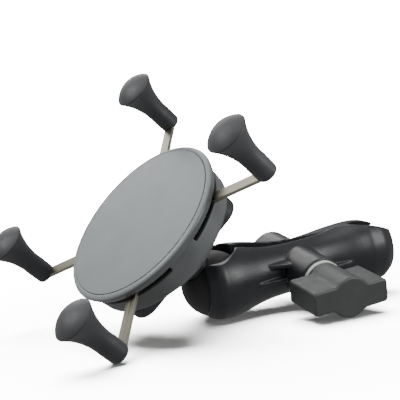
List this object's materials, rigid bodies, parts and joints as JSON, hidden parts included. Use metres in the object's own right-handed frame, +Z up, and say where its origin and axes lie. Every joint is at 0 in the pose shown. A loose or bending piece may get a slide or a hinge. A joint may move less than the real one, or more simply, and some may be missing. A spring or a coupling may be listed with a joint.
{
  "type": "phone handlebar mount",
  "caption": "Spring-legged phone holder on a ball-jointed clamp arm with a wing knob; the arm's open far socket takes a handlebar ball.",
  "frame": {"origin": "bottom centre of the bounding box, on the surface the mount lies on", "axes": "+X from the phone holder towards the arm's open socket (the longest extent), +Y away from the wing knob, +Z up"},
  "size_m": [0.1516, 0.1086, 0.0968],
  "materials": {
    "arm_alloy": "satin charcoal black",
    "knob_plastic": "moulded, fine texture",
    "bright_steel": "bright zinc plate",
    "insert_brass": "plain",
    "ball_rubber": "matte",
    "base_alloy": "matte black",
    "seat_plastic": "fine grain",
    "pad_rubber": "matte",
    "leg_steel": "brushed along the bar",
    "cap_rubber": "matte"
  },
  "bodies": {
    "arm_rear": {"arm_half_rear": "arm_alloy", "clamp_bolt": "bright_steel", "spread_spring": "bright_steel"},
    "arm_front": {"arm_half_front": "arm_alloy"},
    "knob": {"wing_knob": "knob_plastic", "knob_insert": "insert_brass", "thrust_washer": "bright_steel"},
    "ball_skin": {"ball_rubber": "ball_rubber"},
    "holder": {"ball_base": "base_alloy", "base_screws": "bright_steel", "base_nuts": "bright_steel", "back_shell": "seat_plastic", "front_plate": "seat_plastic", "front_pad": "pad_rubber", "shell_screws": "bright_steel", "pivot_pin": "bright_steel", "torsion_spring": "bright_steel"},
    "legs_rising": {"leg_bar_rising": "leg_steel", "leg_posts_rising": "leg_steel", "rubber_cap_upper_right": "cap_rubber", "rubber_cap_lower_left": "cap_rubber"},
    "legs_falling": {"leg_bar_falling": "leg_steel", "leg_posts_falling": "leg_steel", "rubber_cap_upper_left": "cap_rubber", "rubber_cap_lower_right": "cap_rubber"}
  },
  "joints": [
    {"name": "clamp_open", "type": "slide", "parent": "arm_rear", "child": "arm_front", "axis": [0, -0.9829, -0.184], "range_m": [0, 0.002]},
    {"name": "knob_turn", "type": "hinge", "parent": "arm_front", "child": "knob", "pos_m": [0.03397, 0.00907, 0.01578], "axis": [0, -0.9829, -0.184], "range_deg": [0, 720]},
    {"name": "ball_swing", "type": "hinge", "parent": "arm_rear", "child": "ball_skin", "pos_m": [0.00005, 0.00949, 0.01352], "axis": [0, 0.9829, 0.184], "range_deg": [-130, 40]},
    {"name": "holder_twist", "type": "hinge", "parent": "ball_skin", "child": "holder", "pos_m": [0.00005, 0.00949, 0.01352], "axis": [-0.7131, -0.1588, 0.6829], "continuous": true},
    {"name": "leg_swing", "type": "hinge", "parent": "holder", "child": "legs_rising", "pos_m": [-0.03047, 0.0027, 0.04274], "axis": [-0.7131, -0.1588, 0.6829], "range_deg": [-25, 20], "stiffness_Nm_per_rad": 0.1},
    {"name": "leg_counter_swing", "type": "hinge", "parent": "holder", "child": "legs_falling", "pos_m": [-0.03047, 0.0027, 0.04274], "axis": [-0.7131, -0.1588, 0.6829], "range_deg": [-20, 25]}
  ],
  "couplings": [
    {"joint": "knob_turn", "follows": "clamp_open", "rad_per_m": 6283.2},
    {"joint": "leg_counter_swing", "follows": "leg_swing", "ratio": -1}
  ]
}
